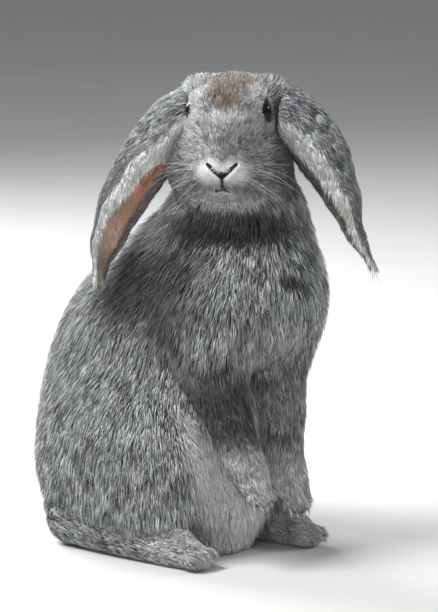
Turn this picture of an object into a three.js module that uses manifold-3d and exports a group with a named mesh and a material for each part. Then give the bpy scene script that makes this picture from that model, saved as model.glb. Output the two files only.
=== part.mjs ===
// A lop-eared rabbit, life size, sitting up on its haunches with its forepaws off the ground.
//
// Millimetres, +Z up. The body faces -Y, its left side is +X, and the head is turned to its right.
// The origin is the middle of the flat under the rump, on the floor.
//
// The animal is one blended form: ellipsoids and tapered limbs joined by smooth unions. Each node is
// that form meshed at its own fineness and parted from its neighbours by a thin cut. The ears are
// plates bent round a curve, and the eyes are balls in sockets.

import * as THREE from "three";
import { mergeVertices } from "three/addons/utils/BufferGeometryUtils.js";
import Module from "manifold-3d";

const wasm = await Module();
wasm.setup();

// ---------------------------------------------------------------- driving dimensions

const CUT = 0.3; // clear width of the cut between two parts
const EAR_GAP = 1; // between the head's field and the root of an ear, so that their facets stay clear
const SIDES = [
  { name: "left", x: 1 },
  { name: "right", x: -1 },
];

// The body, from the rump up. `blend` is the fillet's reach to the forms before it.
const BODY_FORMS = {
  rump: { at: [0, 2, 88], radii: [72, 77, 92], blend: 1 },
  seat: { at: [0, 4, 48], radii: [66, 70, 52], blend: 25 },
  loin: { at: [0, -20, 148], radii: [66, 79, 76], blend: 25 },
  belly: { at: [0, -66, 104], radii: [58, 60, 62], blend: 25 },
  apron: { at: [0, -76, 38], radii: [50, 48, 60], blend: 22 }, // hangs to the floor between the feet
  back: { at: [0, -50, 182], radii: [58, 67, 56], blend: 25 },
  withers: { at: [0, -72, 218], radii: [50, 60, 50], blend: 25 },
  chest: { at: [2, -124, 206], radii: [58, 60, 62], blend: 25 },
  neck: { at: [3, -110, 258], radii: [51, 56, 52], blend: 22 },
};
// These stand on both sides; they are written for the left.
const PAIRED_FORMS = {
  haunch: { at: [53, -46, 68], radii: [34, 76, 62], blend: 32 },
  shoulder: { at: [38, -122, 182], radii: [26, 36, 50], blend: 22 },
};

// The head's own frame: x to its left, y backwards, z up. Its middle lies between the cheeks.
const HEAD_AT = [-20, -125, 325];
const HEAD_TURN_DEG = -53; // about Z, towards the animal's right
const HEAD_FORMS = {
  cranium: { at: [0, 20, 9], radii: [35, 38, 32], pitch: 12, blend: 1 },
  forehead: { at: [0, -4, 14], radii: [22, 21, 20], blend: 12 },
  bridge: { at: [0, -9, -2], radii: [29, 33, 28], pitch: 35, blend: 16 },
  muzzle: { at: [0, -27, -22], radii: [21, 21, 18], pitch: 25, blend: 12 },
  jaw: { at: [0, -17, -40], radii: [21, 25, 15], blend: 12 },
};
const PAIRED_HEAD_FORMS = {
  cheek: { at: [23, 0, -30], radii: [25, 30, 26], blend: 16 },
  whiskerPad: { at: [9, -34, -27], radii: [12, 13, 12], blend: 6 },
  brow: { at: [17, -11, 23], radii: [9, 14, 8], blend: 8 },
  earRoot: { at: [26, 31, 22], radii: [16, 18, 16], blend: 12 },
};

const EYE_RADIUS = 10;
const EYE_AT = [21.5, -10, 13.5]; // the left eye's centre, in the head's frame

// Limbs are lists of stations, [x, y, z, radius]. The forelegs hang, the left one a little lower.
const FORELEG = {
  right: {
    elbow: [-33, -121, 146, 24],
    forearm: [-31, -133, 116, 19],
    wrist: [-30, -145, 88, 15.5],
    knuckles: [-29, -156, 69, 14],
    toes: [-28, -163, 59, 10],
  },
  left: {
    elbow: [33, -119, 140, 24],
    forearm: [29, -132, 110, 19],
    wrist: [24, -137, 76, 15.5],
    knuckles: [22, -148, 56, 14],
    toes: [21, -155, 46, 10],
  },
};
const HIND_FOOT = {
  hock: [60, 6, 20, 20],
  instep: [61, -54, 17, 18],
  knuckles: [60, -112, 13, 15],
  toes: [59, -128, 9.5, 10.5],
};
const TAIL = [
  [0, 62, 42, 15],
  [0, 82, 52, 15],
  [0, 92, 78, 11],
  [0, 90, 98, 7],
];
const LIMB_BLEND = { foreleg: 14, forepaw: 3, hindFoot: 16, tail: 6, head: 14 };

const TOES = 4;
const FORE_TOES = { gap: 6.2, radii: [4.4, 6, 6], blend: 4 };
const HIND_TOES = { gap: 7, radii: [5.6, 9, 7], blend: 5 };
const CLAW = { length: 11.5, radius: 1.7, tip: 0.5, sides: 4, bend: 0.5, sunk: 0.3 };

// Each ear is a plate bent to a trough round a curve. The curve is in the head's frame, written for
// the left side. Angles go round it from straight ahead, over the outer edge, to the back.
const EARS = {
  right: {
    curve: [
      [20, 34, 20],
      [34, 32, 11],
      [53, 26, -9],
      [70, 20, -35],
      [84, 15, -62],
      [93, 12, -88],
      [99, 11, -116],
    ],
    front: [-60, -40, -5, 25, 50],
    back: [275, 260, 250, 238, 195],
    radius: [13, 19, 19.5, 17.5, 13, 5.5],
  },
  left: {
    curve: [
      [20, 34, 20],
      [35, 32, 11],
      [53, 27, -6],
      [68, 21, -29],
      [80, 16, -54],
      [90, 12, -80],
      [103, 10, -104],
    ],
    front: [-60, -35, -12, 10, 45],
    back: [275, 258, 245, 230, 190],
    radius: [14, 20, 20, 15, 8.5, 4],
  },
};
const EAR_THICKNESS = { base: 6, tip: 3.2, margin: 0.42 };

// Where the parts are cut from each other. The throat's plane is in the head's frame.
const THROAT = { at: [0, 25, -30], normal: [0, -0.8, 0.6] };
const COLLAR = { at: [0, -100, 238], normal: [0, -0.25, 0.97] };
const HAUNCH_CUTTER = { at: [76, -50, 74], radii: [44, 92, 80] };
const FOOT_CUTTER = { low: [37, -150, -20], high: [107, 44, 36] };
const FORELEG_CUTTER = { radius: 23, start: 8 };
const TAIL_CUTTER = { radius: 19, start: 12 };

// How finely each part is meshed: the side of a grid cell.
const CELL = {
  head: 8.6,
  neck: 15,
  trunk: 19,
  haunch: 16,
  hindFoot: 10.5,
  foreleg: 10.5,
  forepaw: 7,
  tail: 12,
};
const EAR_STEPS = { along: 12, across: 6 };
const EYE_SEGMENTS = [12, 8];
const CUTTER_SEGMENTS = [16, 10];

const COAT_COLOR = 0x8b8c90;
const PALE_COLOR = 0xc9c9c8;
const EAR_COLOR = 0x85858a;
const EYE_COLOR = 0x140d09;

// ---------------------------------------------------------------- blended forms

// Joins two distances with a fillet that starts where they are `reach` apart.
function smoothUnion(a, b, reach) {
  const near = Math.max(reach - Math.abs(a - b), 0) / reach;
  return Math.min(a, b) - (near * near * reach) / 4;
}

// A signed distance to an ellipsoid, exact enough near its surface to blend and to mesh.
function ellipsoid({ at, radii, pitch = 0 }) {
  const turn = new THREE.Matrix4().makeRotationX(THREE.MathUtils.degToRad(pitch));
  const e = turn.setPosition(...at).invert().elements;
  const [a, b, c] = radii;
  return (x, y, z) => {
    const px = (e[0] * x + e[4] * y + e[8] * z + e[12]) / a;
    const py = (e[1] * x + e[5] * y + e[9] * z + e[13]) / b;
    const pz = (e[2] * x + e[6] * y + e[10] * z + e[14]) / c;
    const reach = Math.hypot(px, py, pz);
    const slope = Math.hypot(px / a, py / b, pz / c);
    return slope > 1e-9 ? (reach * (reach - 1)) / slope : -Math.min(a, b, c);
  };
}

// A signed distance to a limb: a line of [x, y, z, radius] stations with tapered lengths between them.
function limb(stations) {
  return (x, y, z) => {
    let nearest = Infinity;
    for (let i = 0; i + 1 < stations.length; i++) {
      const [ax, ay, az, ar] = stations[i];
      const [bx, by, bz, br] = stations[i + 1];
      const [dx, dy, dz] = [bx - ax, by - ay, bz - az];
      const [px, py, pz] = [x - ax, y - ay, z - az];
      const along = (px * dx + py * dy + pz * dz) / (dx * dx + dy * dy + dz * dz);
      const t = Math.min(Math.max(along, 0), 1);
      const away = Math.hypot(px - t * dx, py - t * dy, pz - t * dz);
      nearest = Math.min(nearest, away - (ar + t * (br - ar)));
    }
    return nearest;
  };
}

// Blends a list of { form, blend } in order.
function blended(parts) {
  return (x, y, z) => {
    let distance = Infinity;
    for (const { form, blend } of parts) {
      const next = form(x, y, z);
      distance = distance === Infinity ? next : smoothUnion(distance, next, blend);
    }
    return distance;
  };
}

const mirrored = ([px, ...rest], x) => [px * x, ...rest];

// The single forms of one table and the paired forms of another, ready to blend.
function formsOf(single, paired) {
  const parts = Object.values(single).map((f) => ({ form: ellipsoid(f), blend: f.blend }));
  for (const { x } of SIDES) {
    for (const f of Object.values(paired)) {
      parts.push({ form: ellipsoid({ ...f, at: mirrored(f.at, x) }), blend: f.blend });
    }
  }
  return parts;
}

// ---------------------------------------------------------------- head

const headMatrix = new THREE.Matrix4()
  .makeRotationZ(THREE.MathUtils.degToRad(HEAD_TURN_DEG))
  .setPosition(...HEAD_AT);

function headForm() {
  const form = blended(formsOf(HEAD_FORMS, PAIRED_HEAD_FORMS));
  const e = headMatrix.clone().invert().elements;
  return (x, y, z) =>
    form(
      e[0] * x + e[4] * y + e[8] * z + e[12],
      e[1] * x + e[5] * y + e[9] * z + e[13],
      e[2] * x + e[6] * y + e[10] * z + e[14],
    );
}

// ---------------------------------------------------------------- limbs

// Toes side by side at the end of a paw, the middle ones furthest forward.
function toeRow(end, from, { gap, radii, blend }) {
  const tip = new THREE.Vector3(...end.slice(0, 3));
  const forward = tip.clone().sub(new THREE.Vector3(...from.slice(0, 3))).normalize();
  const across = new THREE.Vector3(1, 0, 0).addScaledVector(forward, -forward.x).normalize();
  const places = [];
  for (let i = 0; i < TOES; i++) {
    const step = i - (TOES - 1) / 2;
    const lead = radii[1] * (0.55 - 0.12 * step * step);
    places.push(tip.clone().addScaledVector(across, step * gap).addScaledVector(forward, lead));
  }
  const parts = places.map((at) => ({ form: ellipsoid({ at: at.toArray(), radii }), blend }));
  return { forward, places, parts, length: radii[1] };
}

function makeForeleg(name) {
  const { elbow, forearm, wrist, knuckles, toes } = FORELEG[name];
  const row = toeRow(toes, wrist, FORE_TOES);
  const paw = { form: limb([wrist, knuckles, toes]), blend: 1 };
  return { row, upper: limb([elbow, forearm, wrist]), paw: blended([paw, ...row.parts]) };
}

function makeHindFoot(x) {
  const stations = Object.values(HIND_FOOT).map((station) => mirrored(station, x));
  const row = toeRow(stations[3], stations[2], HIND_TOES);
  const sole = { form: limb(stations), blend: 1 };
  return { row, stations, form: blended([sole, ...row.parts]) };
}

const forelegs = { left: makeForeleg("left"), right: makeForeleg("right") };
const hindFeet = { left: makeHindFoot(1), right: makeHindFoot(-1) };

// ---------------------------------------------------------------- the whole animal

function wholeAnimal() {
  const parts = formsOf(BODY_FORMS, PAIRED_FORMS);
  for (const { name } of SIDES) {
    parts.push(
      { form: forelegs[name].upper, blend: LIMB_BLEND.foreleg },
      { form: forelegs[name].paw, blend: LIMB_BLEND.forepaw },
      { form: hindFeet[name].form, blend: LIMB_BLEND.hindFoot },
    );
  }
  parts.push(
    { form: limb(TAIL), blend: LIMB_BLEND.tail },
    { form: headForm(), blend: LIMB_BLEND.head },
  );
  return blended(parts);
}

const animal = wholeAnimal();

// ---------------------------------------------------------------- meshing

// The eight corners and twelve edges of a grid cell.
const CORNERS = Array.from({ length: 8 }, (_, i) => [i & 1, (i >> 1) & 1, (i >> 2) & 1]);
const EDGES = [];
CORNERS.forEach((a, i) =>
  CORNERS.forEach((b, j) => {
    if (j > i && a.reduce((sum, v, k) => sum + Math.abs(v - b[k]), 0) === 1) EDGES.push([i, j]);
  }),
);

// Where a grid square has its corners inside and outside by turns, four quads would share one edge.
// The nearer of its two outside corners is taken as inside, until no such square is left.
function fillPinches(values, size) {
  const step = [1, size[0], size[0] * size[1]];
  const last = values.length - step[2] - step[1] - 1;
  let filled = true;
  while (filled) {
    filled = false;
    for (let here = 0; here < last; here++) {
      for (let axis = 0; axis < 3; axis++) {
        const [u, v] = [step[(axis + 1) % 3], step[(axis + 2) % 3]];
        const ring = [here, here + u, here + u + v, here + v];
        const inside = ring.map((at) => values[at] < 0);
        if (inside[0] !== inside[2] || inside[1] !== inside[3] || inside[0] === inside[1]) continue;
        const [a, b] = inside[0] ? [ring[1], ring[3]] : [ring[0], ring[2]];
        values[values[a] < values[b] ? a : b] = -1e-3;
        filled = true;
      }
    }
  }
}

// Moves a point along the slope of a form onto its surface, by no more than a third of a cell.
function settled(form, point, cell) {
  const probe = 0.05 * cell;
  const value = form(...point);
  const slope = [0, 1, 2].map((axis) => {
    const next = point.map((v, k) => (k === axis ? v + probe : v));
    return (form(...next) - value) / probe;
  });
  const steepness = Math.hypot(...slope);
  const reach = THREE.MathUtils.clamp(value / Math.max(steepness, 0.3), -cell / 3, cell / 3);
  return point.map((v, k) => v - (reach * slope[k]) / Math.max(steepness, 0.3));
}

const apart = (positions, a, b) =>
  Math.hypot(...[0, 1, 2].map((k) => positions[3 * a + k] - positions[3 * b + k]));

// Surface nets: one vertex in each grid cell that the surface crosses, at the mean of its crossings,
// and one quad round each grid edge that it crosses. The box's outer layer counts as outside.
function meshOf(form, [low, high], cell) {
  const size = low.map((v, k) => Math.ceil((high[k] - v) / cell) + 3);
  const place = (i, k) => low[k] + (i - 1) * cell;
  const at = (i, j, k) => i + size[0] * (j + size[1] * k);
  const values = new Float32Array(size[0] * size[1] * size[2]);
  for (let k = 0; k < size[2]; k++)
    for (let j = 0; j < size[1]; j++)
      for (let i = 0; i < size[0]; i++) {
        const outer = [i, j, k].some((v, axis) => v === 0 || v === size[axis] - 1);
        const value = outer ? cell : form(place(i, 0), place(j, 1), place(k, 2));
        values[at(i, j, k)] = value === 0 ? 1e-6 : value;
      }

  fillPinches(values, size);
  const vertexOf = new Map();
  const positions = [];
  for (let k = 0; k + 1 < size[2]; k++)
    for (let j = 0; j + 1 < size[1]; j++)
      for (let i = 0; i + 1 < size[0]; i++) {
        const corner = CORNERS.map(([a, b, c]) => values[at(i + a, j + b, k + c)]);
        const sum = [0, 0, 0];
        let crossings = 0;
        for (const [a, b] of EDGES) {
          if (corner[a] < 0 === corner[b] < 0) continue;
          const t = corner[a] / (corner[a] - corner[b]);
          sum.forEach((_, axis) => {
            sum[axis] += CORNERS[a][axis] + t * (CORNERS[b][axis] - CORNERS[a][axis]);
          });
          crossings++;
        }
        if (!crossings) continue;
        vertexOf.set(at(i, j, k), positions.length / 3);
        const mean = [i, j, k].map((v, axis) => place(v, axis) + (sum[axis] / crossings) * cell);
        positions.push(...settled(form, mean, cell));
      }

  const triangles = [];
  const step = [1, size[0], size[0] * size[1]];
  for (let k = 0; k + 1 < size[2]; k++)
    for (let j = 0; j + 1 < size[1]; j++)
      for (let i = 0; i + 1 < size[0]; i++)
        for (let axis = 0; axis < 3; axis++) {
          const here = at(i, j, k);
          const inside = values[here] < 0;
          if (inside === values[here + step[axis]] < 0) continue;
          const [u, v] = [step[(axis + 1) % 3], step[(axis + 2) % 3]];
          const ring = [here - u - v, here - v, here, here - u].map((cellAt) => vertexOf.get(cellAt));
          const [a, b, c, d] = inside ? ring : ring.reverse();
          if (apart(positions, a, c) < apart(positions, b, d)) triangles.push(a, b, c, a, c, d);
          else triangles.push(b, c, d, b, d, a);
        }
  return new THREE.BufferGeometry()
    .setAttribute("position", new THREE.Float32BufferAttribute(positions, 3))
    .setIndex(triangles);
}

// ---------------------------------------------------------------- cutting and joining

function solidOf(geometry) {
  const bare = geometry.clone();
  bare.deleteAttribute("normal");
  bare.deleteAttribute("uv");
  const merged = mergeVertices(bare, 1e-3);
  return new wasm.Manifold(
    new wasm.Mesh({
      numProp: 3,
      vertProperties: new Float32Array(merged.attributes.position.array),
      triVerts: new Uint32Array(merged.index.array),
    }),
  );
}

function geometryOf(solid) {
  const mesh = solid.getMesh();
  return new THREE.BufferGeometry()
    .setAttribute("position", new THREE.BufferAttribute(mesh.vertProperties, 3))
    .setIndex(new THREE.BufferAttribute(mesh.triVerts, 1));
}

// Everything on the side of a plane that its normal points to, set back by half a cut.
const HALF_SPACE_SIZE = 900;
function sideOf(point, normal) {
  const n = new THREE.Vector3(...normal).normalize();
  const box = new THREE.BoxGeometry(HALF_SPACE_SIZE, HALF_SPACE_SIZE, HALF_SPACE_SIZE);
  box.translate(0, 0, HALF_SPACE_SIZE / 2 + CUT / 2);
  box.applyQuaternion(new THREE.Quaternion().setFromUnitVectors(new THREE.Vector3(0, 0, 1), n));
  box.translate(...point);
  return solidOf(box);
}

const opposite = (normal) => normal.map((v) => -v);
const grown = (form, by) => (x, y, z) => form(x, y, z) - by;

function around(stations, margin) {
  const box = new THREE.Box3();
  for (const [x, y, z, r] of stations) {
    box.expandByPoint(new THREE.Vector3(x - r, y - r, z - r));
    box.expandByPoint(new THREE.Vector3(x + r, y + r, z + r));
  }
  box.expandByScalar(margin);
  return [box.min.toArray(), box.max.toArray()];
}

const floor = sideOf([0, 0, -CUT / 2], [0, 0, 1]);

// ---------------------------------------------------------------- ears

// A value read along an evenly spaced list, eased between its entries.
function along(list, t) {
  const at = Math.min(Math.max(t, 0), 1) * (list.length - 1);
  const i = Math.min(Math.floor(at), list.length - 2);
  return THREE.MathUtils.lerp(list[i], list[i + 1], THREE.MathUtils.smoothstep(at - i, 0, 1));
}

function earGeometry(side) {
  const { curve, front, back, radius } = EARS[side];
  const x = side === "left" ? 1 : -1;
  const middle = new THREE.CatmullRomCurve3(curve.map((p) => new THREE.Vector3(...mirrored(p, x))));
  const plate = new THREE.BoxGeometry(1, 1, 1, EAR_STEPS.along, EAR_STEPS.across, 1);
  const position = plate.attributes.position;
  for (let i = 0; i < position.count; i++) {
    const s = position.getX(i) + 0.5; // from the root to the tip
    const a = position.getY(i) + 0.5; // from the front margin to the back margin
    const layer = position.getZ(i); // -0.5 is the inside of the trough
    const tangent = middle.getTangentAt(s);
    const ahead = new THREE.Vector3(0, -1, 0);
    ahead.addScaledVector(tangent, -ahead.dot(tangent)).normalize();
    const outward = new THREE.Vector3().crossVectors(ahead, tangent).multiplyScalar(x);
    const angle = THREE.MathUtils.degToRad(THREE.MathUtils.lerp(along(front, s), along(back, s), a));
    const taper = Math.sqrt(Math.max(Math.sin(Math.PI * a), 0));
    const edge = THREE.MathUtils.lerp(EAR_THICKNESS.margin, 1, taper);
    const thickness = THREE.MathUtils.lerp(EAR_THICKNESS.base, EAR_THICKNESS.tip, s) * edge;
    const reach = along(radius, s) + layer * thickness;
    const p = middle
      .getPointAt(s)
      .addScaledVector(ahead, Math.cos(angle) * reach)
      .addScaledVector(outward, Math.sin(angle) * reach);
    position.setXYZ(i, p.x, p.y, p.z);
  }
  if (x > 0) return plate.applyMatrix4(headMatrix);
  const index = plate.index.array;
  for (let i = 0; i < index.length; i += 3) [index[i], index[i + 1]] = [index[i + 1], index[i]];
  return plate.applyMatrix4(headMatrix);
}

// ---------------------------------------------------------------- claws

// A claw that curves down from a toe, with its root sunk in the toe.
function claw(toe, { forward, length }) {
  const bend = forward.clone().addScaledVector(new THREE.Vector3(0, 0, -1), CLAW.bend).normalize();
  const root = toe.clone().addScaledVector(forward, -CLAW.sunk * length);
  const shape = new THREE.CylinderGeometry(CLAW.tip, CLAW.radius, CLAW.length, CLAW.sides);
  shape.applyQuaternion(new THREE.Quaternion().setFromUnitVectors(new THREE.Vector3(0, 1, 0), bend));
  shape.translate(...root.addScaledVector(bend, CLAW.length / 2).toArray());
  return solidOf(shape);
}

const withClaws = (solid, row) => row.places.reduce((made, toe) => made.add(claw(toe, row)), solid);

// ---------------------------------------------------------------- the nodes

const group = new THREE.Group();

function addNode(name, solid, color, roughness = 0.9) {
  const material = new THREE.MeshStandardMaterial({ color, roughness, metalness: 0 });
  const mesh = new THREE.Mesh(geometryOf(solid), material);
  mesh.name = name;
  group.add(mesh);
}

const HEAD_BOX = [
  [-92, -215, 255],
  [65, -45, 382],
];
const BODY_BOX = [
  [-100, -200, -12],
  [100, 112, 330],
];
const LIMB_MARGIN = 16; // from a limb's stations to the sides of its box

const throatPoint = new THREE.Vector3(...THROAT.at).applyMatrix4(headMatrix).toArray();
const throatNormal = new THREE.Vector3(...THROAT.normal).transformDirection(headMatrix).toArray();

function eyeBall(x, radius) {
  const ball = new THREE.SphereGeometry(radius, ...EYE_SEGMENTS);
  ball.translate(...mirrored(EYE_AT, x));
  return solidOf(ball.applyMatrix4(headMatrix));
}

function addHead() {
  let head = solidOf(meshOf(animal, HEAD_BOX, CELL.head)).intersect(sideOf(throatPoint, throatNormal));
  for (const { x } of SIDES) head = head.subtract(eyeBall(x, EYE_RADIUS + CUT));
  addNode("head", head, COAT_COLOR);
  for (const { name, x } of SIDES) addNode("eye_" + name, eyeBall(x, EYE_RADIUS), EYE_COLOR, 0.1);
}

// The part of each ear that stands clear of the head.
function addEars() {
  const clearance = solidOf(meshOf(grown(animal, EAR_GAP), HEAD_BOX, CELL.head));
  for (const { name } of SIDES) {
    const pieces = solidOf(earGeometry(name)).subtract(clearance).decompose();
    pieces.sort((a, b) => b.volume() - a.volume());
    addNode("ear_" + name, pieces[0], EAR_COLOR);
  }
}

function addNeck() {
  const neck = solidOf(meshOf(animal, BODY_BOX, CELL.neck))
    .intersect(sideOf(throatPoint, opposite(throatNormal)))
    .intersect(sideOf(COLLAR.at, COLLAR.normal));
  addNode("neck", neck, COAT_COLOR);
}

// The cutters are plain solids round each limb, `grow` wider all over.
function haunchCutter(x, grow) {
  const { at, radii } = HAUNCH_CUTTER;
  const shape = new THREE.SphereGeometry(1, ...CUTTER_SEGMENTS);
  shape.scale(...radii.map((r) => r + grow));
  shape.translate(...mirrored(at, x));
  return solidOf(shape);
}

function footCutter(x, grow) {
  const { low, high } = FOOT_CUTTER;
  const shape = new THREE.BoxGeometry(...low.map((v, k) => high[k] - v + 2 * grow));
  shape.translate(...mirrored(low.map((v, k) => (v + high[k]) / 2), x));
  return solidOf(shape);
}

// A round sleeve along a limb, from a little below its first station to past its last one.
function sleeve(from, to, { radius, start }, grow) {
  const [a, b] = [new THREE.Vector3(...from.slice(0, 3)), new THREE.Vector3(...to.slice(0, 3))];
  const down = b.clone().sub(a).normalize();
  const near = start - grow;
  const far = a.distanceTo(b) + 2 * radius;
  const shape = new THREE.CylinderGeometry(radius + grow, radius + grow, far - near, 12);
  shape.applyQuaternion(new THREE.Quaternion().setFromUnitVectors(new THREE.Vector3(0, 1, 0), down));
  shape.translate(...a.addScaledVector(down, (near + far) / 2).toArray());
  return solidOf(shape);
}

const forelegCutter = (name, grow) =>
  sleeve(FORELEG[name].elbow, FORELEG[name].knuckles, FORELEG_CUTTER, grow);
const tailCutter = (grow) => sleeve(TAIL[0], TAIL[2], TAIL_CUTTER, grow);

function addForeleg(name) {
  const box = around(Object.values(FORELEG[name]), LIMB_MARGIN);
  const { wrist, knuckles } = FORELEG[name];
  const wristAt = wrist.slice(0, 3);
  const pawward = wristAt.map((v, k) => knuckles[k] - v);
  const cutter = forelegCutter(name, 0);
  const leg = solidOf(meshOf(animal, box, CELL.foreleg)).intersect(cutter);
  addNode("foreleg_" + name, leg.intersect(sideOf(wristAt, opposite(pawward))), COAT_COLOR);
  const end = solidOf(meshOf(animal, box, CELL.forepaw)).intersect(cutter);
  const paw = end.intersect(sideOf(wristAt, pawward));
  addNode("forepaw_" + name, withClaws(paw, forelegs[name].row), PALE_COLOR);
}

function addHindLeg(name, x) {
  const { row, stations } = hindFeet[name];
  const box = around(stations, LIMB_MARGIN);
  const foot = solidOf(meshOf(animal, box, CELL.hindFoot)).intersect(footCutter(x, 0));
  addNode("hind_foot_" + name, withClaws(foot, row).intersect(floor), PALE_COLOR);
  const haunch = solidOf(meshOf(animal, BODY_BOX, CELL.haunch))
    .intersect(haunchCutter(x, 0))
    .subtract(footCutter(x, CUT));
  addNode("haunch_" + name, haunch, COAT_COLOR);
}

function addTail() {
  const tail = solidOf(meshOf(animal, around(TAIL, LIMB_MARGIN), CELL.tail)).intersect(tailCutter(0));
  addNode("tail", tail, COAT_COLOR);
}

function addTrunk() {
  let trunk = solidOf(meshOf(animal, BODY_BOX, CELL.trunk))
    .intersect(sideOf(COLLAR.at, opposite(COLLAR.normal)))
    .intersect(floor)
    .subtract(tailCutter(CUT));
  for (const { name, x } of SIDES) {
    for (const cutter of [forelegCutter(name, CUT), haunchCutter(x, CUT), footCutter(x, CUT)]) {
      trunk = trunk.subtract(cutter);
    }
  }
  addNode("trunk", trunk, COAT_COLOR);
}

addHead();
addEars();
addNeck();
for (const { name, x } of SIDES) {
  addForeleg(name);
  addHindLeg(name, x);
}
addTail();
addTrunk();

export default group;
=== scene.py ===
"""A life-size lop-eared rabbit sitting up on its haunches, with its coat as solid tufts.

The animal's form is the one its solids are cut from: ellipsoids and limbs joined by smooth unions,
here drawn in by the coat's depth. It is meshed as one skin, refined where the detail is, and furred
with tufts that follow the lie of the coat. Tables are in millimetres, objects in metres.
"""

import math
from collections import namedtuple
from functools import cache

import bmesh
import bpy
import numpy as np
import openvdb
from mathutils import Matrix, Vector
from mathutils.bvhtree import BVHTree
from mathutils.kdtree import KDTree


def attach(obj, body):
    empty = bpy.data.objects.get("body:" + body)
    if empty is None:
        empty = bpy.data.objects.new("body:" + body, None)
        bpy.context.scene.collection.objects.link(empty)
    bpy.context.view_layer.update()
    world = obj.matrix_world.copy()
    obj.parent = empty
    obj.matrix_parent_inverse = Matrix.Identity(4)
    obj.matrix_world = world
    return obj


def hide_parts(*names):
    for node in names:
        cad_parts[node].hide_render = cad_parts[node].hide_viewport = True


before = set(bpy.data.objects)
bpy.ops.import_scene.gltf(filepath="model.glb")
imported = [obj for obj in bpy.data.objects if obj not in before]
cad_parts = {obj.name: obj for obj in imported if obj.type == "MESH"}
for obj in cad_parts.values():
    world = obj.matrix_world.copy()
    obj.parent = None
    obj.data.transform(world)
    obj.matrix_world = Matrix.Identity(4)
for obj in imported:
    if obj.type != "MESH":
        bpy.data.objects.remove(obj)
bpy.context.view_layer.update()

MM = 0.001
BODY = "root"
SIDES = {"left": 1, "right": -1}
rng = np.random.default_rng(11)

# ---- the animal's form, in millimetres

# blend: reach of the fillet to the forms before it. depth: of the coat. fur: length of a tuft.
# lie: the way the coat runs; on the head it runs away from the nose instead. pitch in degrees.
Form = namedtuple("Form", "at radii blend depth fur lie pitch", defaults=(None, 0))

BODY_FORMS = {
    "rump": Form((0, 2, 88), (72, 77, 92), 1, 8, 18, (0, 0.05, -1)),
    "seat": Form((0, 4, 48), (66, 70, 52), 25, 7, 16, (0, 0, -1)),
    "loin": Form((0, -20, 148), (66, 79, 76), 25, 8, 18, (0, 0.12, -1)),
    "belly": Form((0, -66, 104), (58, 60, 62), 25, 8, 18, (0, 0, -1)),
    "apron": Form((0, -76, 38), (50, 48, 60), 22, 8, 17, (0, 0, -1)),
    "back": Form((0, -50, 182), (58, 67, 56), 25, 8, 17, (0, 0.3, -1)),
    "withers": Form((0, -72, 218), (50, 60, 50), 25, 8, 17, (0, 0.4, -1)),
    "chest": Form((2, -124, 206), (58, 60, 62), 25, 8, 18, (0, 0.12, -1)),
    "neck": Form((3, -110, 258), (51, 56, 52), 22, 7, 16, (0, 0.2, -1)),
}
PAIRED_FORMS = {
    "haunch": Form((53, -46, 68), (34, 76, 62), 32, 8, 17, (0, -0.12, -1)),
    "shoulder": Form((38, -122, 182), (26, 36, 50), 22, 8, 17, (0, 0.1, -1)),
}

# The head's frame: x to its left, y backwards, z up.
HEAD_AT = np.array((-20.0, -125.0, 325.0))
HEAD_TURN = math.radians(-53)
HEAD_BLEND = 14
HEAD_FORMS = {
    "cranium": Form((0, 20, 9), (35, 38, 32), 1, 3.5, 10, pitch=12),
    "forehead": Form((0, -4, 14), (22, 21, 20), 12, 2.5, 6),
    "bridge": Form((0, -9, -2), (29, 33, 28), 16, 1.8, 5, pitch=35),
    "muzzle": Form((0, -27, -22), (21, 21, 18), 12, 1.2, 3, pitch=25),
    "jaw": Form((0, -17, -40), (21, 25, 15), 12, 2.5, 7),
}
PAIRED_HEAD_FORMS = {
    "cheek": Form((23, 0, -30), (25, 30, 26), 16, 3, 8),
    "pad": Form((9, -34, -27), (12, 13, 12), 6, 1.2, 3),
    "brow": Form((17, -11, 23), (9, 14, 8), 8, 1.8, 5),
    "ear_root": Form((26, 31, 22), (16, 18, 16), 12, 4.5, 16),
}
EYE_RADIUS = 10
EYE_AT = np.array((21.5, -10.0, 13.5))
EYE_GAZE = np.array((0.97, -0.17, 0.15))

# Stations of each limb: x, y, z, radius.
FORELEGS = {
    "right": (
        (-33, -121, 146, 24), (-31, -133, 116, 19), (-30, -145, 88, 15.5),
        (-29, -156, 69, 14), (-28, -163, 59, 10),
    ),
    "left": (
        (33, -119, 140, 24), (29, -132, 110, 19), (24, -137, 76, 15.5),
        (22, -148, 56, 14), (21, -155, 46, 10),
    ),
}
WRIST = 2  # the station where the paw begins
HIND_FOOT = ((60, 6, 20, 20), (61, -54, 17, 18), (60, -112, 13, 15), (59, -128, 9.5, 10.5))
TAIL = ((0, 62, 42, 15), (0, 82, 52, 15), (0, 92, 78, 11), (0, 90, 98, 7))
TOES = 4
Toes = namedtuple("Toes", "gap radii blend")
FORE_TOES = Toes(6.2, (4.4, 6, 6), 4)
HIND_TOES = Toes(7, (5.6, 9, 7), 5)
SOLE = 1.2  # the skin's height over the floor, where the coat is pressed flat
FLOOR_GAP = 0.4  # tufts stay this far over the floor

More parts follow.
